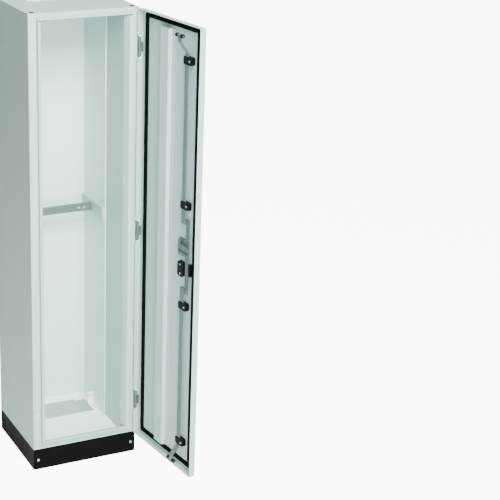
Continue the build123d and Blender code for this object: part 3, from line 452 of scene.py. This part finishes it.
# One finish for each slot of the record, and a few for single nodes. The blacks are deeper than real paint
# and rubber, to suit this studio's light.
FINISHES = {
    "grey_paint": PowderCoat("grey_paint", (0.32, 0.47, 0.452), dust=0.03),
    # A lighter copy of the grey paint: painted light for the lit inside of the cabinet.
    "painted_light_grey_paint": PowderCoat("painted_light_grey_paint", (0.55, 0.72, 0.70), dust=0.03),
    "white_paint": PowderCoat("white_paint", (0.70, 0.83, 0.81), roughness=0.36, mottle=0.02, dust=0.04),
    "black_paint": PowderCoat("black_paint", (0.0012, 0.0016, 0.0018), roughness=0.55, mottle=0.12,
                              dust=0.003, gloss=0.04),
    "zinc_bright": Zinc("zinc_bright", (0.40, 0.46, 0.46), metallic=0.80),
    "zinc_dark": Zinc("zinc_dark", (0.12, 0.16, 0.16), roughness=0.46, spangle=320.0, contrast=0.14,
                      metallic=0.70),
    "rubber": Moulded("rubber", (0.0008, 0.0011, 0.0013), roughness=0.75, pores=900.0, depth=0.0001,
                      bloom=0.002, gloss=0.04),
    "black_plastic": Moulded("black_plastic", (0.0015, 0.0018, 0.0020), roughness=0.50, bloom=0.004,
                             gloss=0.10),
    "light_plastic": Moulded("light_plastic", (0.60, 0.66, 0.66), roughness=0.46, bloom=0.08, gloss=0.5),
    "rod_steel": Zinc("rod_steel", (0.15, 0.20, 0.20), roughness=0.48, spangle=260.0, metallic=0.75),
    "cylinder_metal": Zinc("cylinder_metal", (0.72, 0.72, 0.70), roughness=0.22, spangle=600.0, contrast=0.04,
                           metallic=1.0),
}

# Nodes that don't wear their slot's finish. The back and the liners are the body's own grey paint in the
# record;
# here they wear a lighter copy of it, painted light that stands in for the light falling inside. The rods and
# their plate wear a darker zinc.
NODE_FINISHES = {
    "back_panel": "painted_light_grey_paint",
    "left_side_liner": "painted_light_grey_paint",
    "right_side_liner": "painted_light_grey_paint",
    "upper_rod": "rod_steel",
    "lower_rod": "rod_steel",
    "lock_mounting_plate": "rod_steel",
    "upper_rod_fixings": "zinc_dark",
    "lower_rod_fixings": "zinc_dark",
}


# ------------------------------------------------------------------ meshes
@dataclass(frozen=True)
class DoorPlace:
    """Where the door stands: its hinge line and how far it is stored open.

    Args:
        x: hinge line.
        y: hinge line.
        angle: stored opening in degrees.
    """

    x: float
    y: float
    angle: float

    def turned(self, points: np.ndarray, degrees: float) -> np.ndarray:
        """Points turned about the hinge line.

        Args:
            points: array whose last axis holds x, y and z.
            degrees: how far.

        Returns:
            The turned points.
        """
        a = math.radians(degrees)
        turn = np.array([[math.cos(a), -math.sin(a), 0.0], [math.sin(a), math.cos(a), 0.0], [0.0, 0.0, 1.0]])
        pivot = np.array([self.x, self.y, 0.0])
        return (points - pivot) @ turn.T + pivot

    def opened(self, points: np.ndarray) -> np.ndarray:
        """Closed-door points turned to the stored pose.

        Args:
            points: array whose last axis holds x, y and z.

        Returns:
            The turned points.
        """
        return self.turned(points, self.angle)

    def closed(self, points: np.ndarray) -> np.ndarray:
        """Stored points turned to where they are with the door closed.

        Args:
            points: array whose last axis holds x, y and z.

        Returns:
            The turned points.
        """
        return self.turned(points, -self.angle)

    def closed_box(self, node: bpy.types.Object) -> tuple[np.ndarray, np.ndarray]:
        """Lowest and highest corner of a door piece, with the door closed.

        Args:
            node: the piece's CAD object.

        Returns:
            The two corners.
        """
        flat = np.empty(len(node.data.vertices) * 3)
        node.data.vertices.foreach_get("co", flat)
        points = self.closed(flat.reshape(-1, 3))
        return points.min(0), points.max(0)


def grid_object(name: str, sheets: list[np.ndarray], wrap_u: bool, wrap_v: bool) -> bpy.types.Object:
    """One mesh object from grids of points.

    Corner number k of the face at row i and column j is point (i + a) * columns + (j + b), with (a, b) going
    round (0, 0), (1, 0), (1, 1), (0, 1), and rows and columns counted round again where the grid wraps.

    Args:
        name: object name.
        sheets: grids shaped rows by columns by 3.
        wrap_u: whether the last row joins the first.
        wrap_v: whether the last column joins the first.

    Returns:
        The object, linked to the scene.
    """
    faces, start = [], 0
    for grid in sheets:
        rows, cols = grid.shape[:2]
        i, j = np.meshgrid(np.arange(rows - (not wrap_u)), np.arange(cols - (not wrap_v)), indexing="ij")
        quad = [((i + a) % rows) * cols + (j + b) % cols for a, b in ((0, 0), (1, 0), (1, 1), (0, 1))]
        faces.append(np.stack(quad, -1).reshape(-1, 4) + start)
        start += rows * cols
    mesh = bpy.data.meshes.new(name)
    points = np.concatenate([grid.reshape(-1, 3) for grid in sheets])
    mesh.from_pydata(points, [], np.concatenate(faces))
    mesh.polygons.foreach_set("use_smooth", np.ones(len(mesh.polygons), bool))
    mesh.validate()
    obj = bpy.data.objects.new(name, mesh)
    bpy.context.scene.collection.objects.link(obj)
    return obj


def lathe(profile: np.ndarray, origin: np.ndarray, axis: Axis, turns: int) -> np.ndarray:
    """A profile of (radius, distance along the axis) turned round the axis, as a grid.

    Args:
        profile: radius and height of each point.
        origin: where the axis starts.
        axis: its direction.
        turns: points round.

    Returns:
        The grid, turns by profile points by 3.
    """
    along = np.array(axis.value)
    first = np.roll(along, 1)
    second = np.cross(along, first)
    angle = np.linspace(0.0, 2 * math.pi, turns, endpoint=False)[:, None, None]
    radius, height = profile[None, :, 0, None], profile[None, :, 1, None]
    ring = np.cos(angle) * first + np.sin(angle) * second
    return origin + ring * radius + along * height


def rounded_loop(half_x: float, low: float, high: float, radius: float, arc: int, side: int) -> np.ndarray:
    """A rounded rectangle in the door's plane.

    Args:
        half_x: half its width.
        low: its lowest z.
        high: its highest z.
        radius: corner radius.
        arc: points on each corner.
        side: points on each straight side.

    Returns:
        The loop as (x, z) pairs.
    """
    middle, half_z = (low + high) / 2, (high - low) / 2
    runs = []
    corners = ((1, 1, 0.0), (-1, 1, 0.5 * math.pi), (-1, -1, math.pi), (1, -1, 1.5 * math.pi))
    for sx, sz, start in corners:
        angle = start + np.linspace(0.0, 0.5 * math.pi, arc)
        cx, cz = sx * (half_x - radius), sz * (half_z - radius)
        runs.append(np.stack([cx + radius * np.cos(angle), middle + cz + radius * np.sin(angle)], -1))
    pieces = []
    for k, run in enumerate(runs):
        following = runs[(k + 1) % 4][0]
        share = np.linspace(0.0, 1.0, side + 2)[1:-1, None]
        pieces += [run, run[-1] * (1 - share) + following * share]
    return np.concatenate(pieces)


# ------------------------------------------------------------------ sub-assemblies
@dataclass
class DoorSeal:
    """Foamed rubber seal laid round the inside of the door.

    Args:
        place: where the door stands.
        low: lowest corner of the seal, door closed.
        high: highest corner of the seal, door closed.
        width: width of the bead.
        outer_corner: radius of its outer corners.
        inner_corner: radius of its inner corners.
        wave: largest rise of the foam's skin.
    """

    place: DoorPlace
    low: np.ndarray
    high: np.ndarray
    width: float = 21.0 * MM
    outer_corner: float = 12.0 * MM
    inner_corner: float = 4.0 * MM
    wave: float = 0.1 * MM

    def build(self) -> bpy.types.Object:
        """Makes the bead: an outer and an inner rounded rectangle, joined by a domed section.

        The section's height is the bead's height * (1 - |2v - 1| ** 3) ** 0.4 for v across the bead, and the
        foam's skin rises and falls by at most its wave, as two sines of the distance round.

        Returns:
            The object.
        """
        (half_width, outside, top), (_, base, bottom) = self.high, self.low
        w = self.width
        outer = rounded_loop(half_width, bottom, top, self.outer_corner, 8, 160)
        inner = rounded_loop(half_width - w, bottom + w, top - w, self.inner_corner, 8, 160)
        v = np.linspace(0.0, 1.0, 17)
        flat = outer[:, None, :] * (1 - v[None, :, None]) + inner[:, None, :] * v[None, :, None]
        dome = (1 - np.abs(2 * v - 1) ** 3) ** 0.4
        run = np.concatenate([[0.0], np.cumsum(np.linalg.norm(np.diff(outer, axis=0), axis=1))])
        ripple = self.wave / 2 * (np.sin(run * 310.0) + np.sin(run * 173.0 + 1.0))
        y = base + dome[None, :] * (outside - base - self.wave + ripple[:, None])
        points = np.stack([flat[..., 0], y, flat[..., 1]], -1)
        seal = grid_object("door_seal", [self.place.opened(points)[:, ::-1]], True, False)
        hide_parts("door_gasket")
        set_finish(seal, "rubber")
        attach(seal, "door")
        return seal


@dataclass
class Membranes:
    """Rows of stepped rubbery cones that are cut open for cables.

    Args:
        low: lowest corner of the plate that carries them.
        high: highest corner of that plate.
        columns: cones across.
        rows: cones front to back.
    """

    low: Vector
    high: Vector
    columns: int = 8
    rows: int = 3

    def build(self) -> bpy.types.Object:
        """Makes one stepped cone and copies it to every place.

        Returns:
            The object.
        """
        steps = [(0.0, 12.0), (2.5, 12.0), (2.9, 11.6)]
        for k in range(4):
            radius, height = 3.0 + 1.35 * k, 11.6 - 2.6 * k
            offsets = ((0.1, -0.2), (0.4, -1.9), (1.1, -2.3))
            steps += [(radius + out, height + up) for out, up in offsets]
        steps += [(8.6, 1.6), (10.4, 1.6), (10.9, 1.2), (11.0, 0.0)]
        profile = np.array(sorted(steps, key=lambda s: (s[0], -s[1]))) * MM
        size = self.high - self.low
        sheets = []
        for i in range(self.columns):
            for j in range(self.rows):
                x = self.low.x + (i + 0.5) * size.x / self.columns
                y = self.low.y + (j + 0.5) * size.y / self.rows
                sheets.append(lathe(profile, np.array([x, y, self.high.z]), Axis.Z, 28)[::-1])
        cones = grid_object("stepped_membranes", sheets, True, False)
        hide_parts("cable_membranes")
        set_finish(cones, "light_plastic")
        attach(cones, "cabinet")
        return cones


@dataclass
class Rollers:
    """The pair of rollers at one end of a lock rod.

    Args:
        place: where the door stands.
        name: object name.
        node: CAD node that it stands for.
        body: body that it rides on.
        middle: middle of the roller pin, door closed.
        inside: from the middle to each roller's inner face.
        width: width of a roller.
    """

    place: DoorPlace
    name: str
    node: str
    body: str
    middle: np.ndarray
    inside: float = 13.0 * MM
    width: float = 13.0 * MM

    def build(self) -> bpy.types.Object:
        """Makes both rollers as closed profiles: bore, dished face, chamfer and a shallow tread groove.

        Returns:
            The object.
        """
        profile = np.array([
            (2.6, 0.4), (3.8, 0.0), (4.8, 0.0), (5.2, 0.6), (7.2, 0.6), (7.5, 0.0), (8.1, 0.2),
            (8.5, 0.9), (8.5, 5.0), (8.2, 5.6), (8.2, 7.4), (8.5, 8.0), (8.5, 12.1), (8.1, 12.8),
            (7.5, 13.0), (7.2, 12.4), (5.2, 12.4), (4.8, 13.0), (3.8, 13.0), (2.6, 12.6),
        ]) * MM
        sheets = []
        for start in (self.inside, -self.inside - self.width):
            at = self.middle + start * np.array(Axis.X.value)
            sheets.append(self.place.opened(lathe(profile, at, Axis.X, 40)))
        pair = grid_object(self.name, sheets, True, True)
        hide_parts(self.node)
        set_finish(pair, "black_plastic")
        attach(pair, self.body)
        return pair


# ------------------------------------------------------------------ studio
@dataclass(frozen=True)
class Lamp:
    """A soft rectangular studio lamp.

    Args:
        name: object name.
        at: its place.
        aim: the point it faces.
        size: width and height.
        watts: power.
    """

    name: str
    at: tuple[float, float, float]
    aim: tuple[float, float, float]
    size: tuple[float, float]
    watts: float

    def build(self) -> bpy.types.Object:
        """Makes the lamp.

        Returns:
            The object.
        """
        data = bpy.data.lights.new(self.name, "AREA")
        data.shape = "RECTANGLE"
        data.size, data.size_y = self.size
        data.energy = self.watts
        lamp = bpy.data.objects.new(self.name, data)
        lamp.location = self.at
        lamp.rotation_euler = (Vector(self.aim) - Vector(self.at)).to_track_quat("-Z", "Y").to_euler()
        bpy.context.scene.collection.objects.link(lamp)
        return lamp


@dataclass
class Studio:
    """Pale floor, pale surroundings, soft lamps and the camera.

    Args:
        floor_colour: linear floor colour.
        ambient: strength of the surroundings as light.
        backdrop: strength of the surroundings as seen.
        glow: how much the floor is lifted towards white where it is seen.
        floor_radius: radius of the floor.
        stand: the camera's place.
        turn: the camera's yaw, pitch and roll in degrees.
        lens: its focal length in millimetres.
        shift: its sideways and upward shift.
        lamps: the lamps.
    """

    floor_colour: tuple[float, float, float] = (0.88, 0.89, 0.89)
    ambient: float = 0.34
    backdrop: float = 11.5
    glow: float = 9.0
    floor_radius: float = 14.0
    stand: tuple[float, float, float] = (-2.1571, -5.5918, 3.1166)
    turn: tuple[float, float, float] = (24.665, -19.358, 0.868)
    lens: float = 102.86
    shift: tuple[float, float] = (0.20, -0.03)
    lamps: tuple[Lamp, ...] = (
        Lamp("key", (-0.2, -3.1, 4.0), (0.05, 0.1, 0.7), (1.8, 1.6), 580.0),
        Lamp("low", (-0.3, -2.9, 1.1), (0.05, 0.1, 0.3), (1.0, 0.9), 95.0),
        Lamp("top", (0.2, 0.6, 4.4), (0.0, 0.0, 1.0), (2.6, 2.6), 70.0),
    )

    def floor(self) -> None:
        """A wide disc under the cabinet."""
        radius = np.linspace(0.0, self.floor_radius, 8)
        angle = np.linspace(0.0, 2 * math.pi, 64, endpoint=False)
        points = np.stack([np.outer(np.cos(angle), radius), np.outer(np.sin(angle), radius),
                           np.full((64, 8), -0.0005)], -1)
        disc = grid_object("studio_floor", [points[::-1]], True, False)
        p = Painter("studio_floor")
        cloud = p.noise(1.5, 3.0)
        seen = Sock(p.tree, add_node(p.tree, "LightPath", {}, {}).outputs["Is Camera Ray"])
        clouded = p.mix(cloud, tint(self.floor_colour, 0.985), tint(self.floor_colour, 1.015))
        glowing = p.mix(seen, (0.0, 0.0, 0.0, 1.0), WHITE)
        p.put(Base_Color=clouded, Roughness=0.8, Emission_Color=glowing, Emission_Strength=self.glow)
        disc.data.materials.append(p.material)

    def surroundings(self) -> None:
        """An even pale world."""
        world = bpy.data.worlds.new("studio")
        bpy.context.scene.world = world
        world.use_nodes = True
        tree = world.node_tree
        light = next(n for n in tree.nodes if n.type == "BACKGROUND")
        end = next(n for n in tree.nodes if n.type == "OUTPUT_WORLD")
        feed(tree, light.inputs["Color"], WHITE)
        feed(tree, light.inputs["Strength"], self.ambient)
        shown = add_node(tree, "Background", {}, {"Color": WHITE, "Strength": self.backdrop})
        seen = add_node(tree, "LightPath", {}, {}).outputs["Is Camera Ray"]
        blend = add_node(tree, "MixShader", {}, {0: seen, 1: light.outputs[0], 2: shown.outputs[0]})
        feed(tree, end.inputs["Surface"], blend.outputs[0])

    def camera(self) -> None:
        """A longish lens above head height, to the left of the opening."""
        data = bpy.data.cameras.new("camera")
        data.sensor_width = 36.0
        data.lens = self.lens
        data.shift_x, data.shift_y = self.shift
        data.clip_end = 100.0
        data.dof.use_dof = False
        cam = bpy.data.objects.new("camera", data)
        cam.location = self.stand
        yaw, pitch, roll = (math.radians(angle) for angle in self.turn)
        turn = Euler((0.0, 0.0, -yaw)).to_matrix() @ Euler((math.pi / 2 + pitch, 0.0, 0.0)).to_matrix()
        cam.rotation_euler = (turn @ Euler((0.0, 0.0, roll)).to_matrix()).to_euler()
        bpy.context.scene.collection.objects.link(cam)
        bpy.context.scene.camera = cam

    def build(self) -> None:
        """Makes the whole studio."""
        self.floor()
        self.surroundings()
        for lamp in self.lamps:
            lamp.build()
        self.camera()


# ------------------------------------------------------------------ main
def paint(frame: dict, finishes: dict[str, bpy.types.Material]) -> None:
    """Gives every CAD node the finish of its slot in the record, or its own where NODE_FINISHES names one.

    Args:
        finishes: material for each finish name.
    """
    for part in frame["record"]["subparts"]:
        obj = frame["nodes"][part["node"]]
        obj.data.materials.clear()
        obj.data.materials.append(finishes[NODE_FINISHES.get(part["node"], part["material_slot"])])


def corners(box: tuple[Vector, Vector]) -> list[list[float]]:
    """Two corners as plain lists.

    Args:
        box: lowest and highest corner.

    Returns:
        The same numbers as lists.
    """
    return [[float(c) for c in corner] for corner in box]


def main() -> None:
    """Paints the model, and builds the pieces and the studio."""
    logging.basicConfig(level=logging.INFO)
    for obj in list(bpy.data.objects):
        bpy.data.objects.remove(obj)
    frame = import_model()
    finishes = {name: finish.build() for name, finish in FINISHES.items()}
    paint(frame, finishes)
    joints = {joint["name"]: joint for joint in frame["joints"]}
    hinge = joints["door_hinge"]
    place = DoorPlace(hinge["pos_m"][0], hinge["pos_m"][1], -hinge["range_deg"][0])
    upper = place.closed(np.array(joints["upper_roller_spin"]["pos_m"]))
    lower = place.closed(np.array(joints["lower_roller_spin"]["pos_m"]))
    pieces = [
        DoorSeal(place, *place.closed_box(frame["nodes"]["door_gasket"])),
        Membranes(*(Vector(corner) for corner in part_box("roof_gland_plate"))),
        Rollers(place, "upper_roller_pair", "upper_rollers", "upper_wheels", upper),
        Rollers(place, "lower_roller_pair", "lower_rollers", "lower_wheels", lower),
    ]
    for piece in pieces:
        made = piece.build()
        made.data.materials.append(finishes[made["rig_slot"]])
        LOG.info("%s: %d faces", made.name, len(made.data.polygons))
    Studio().build()


if __name__ == "__main__":
    main()
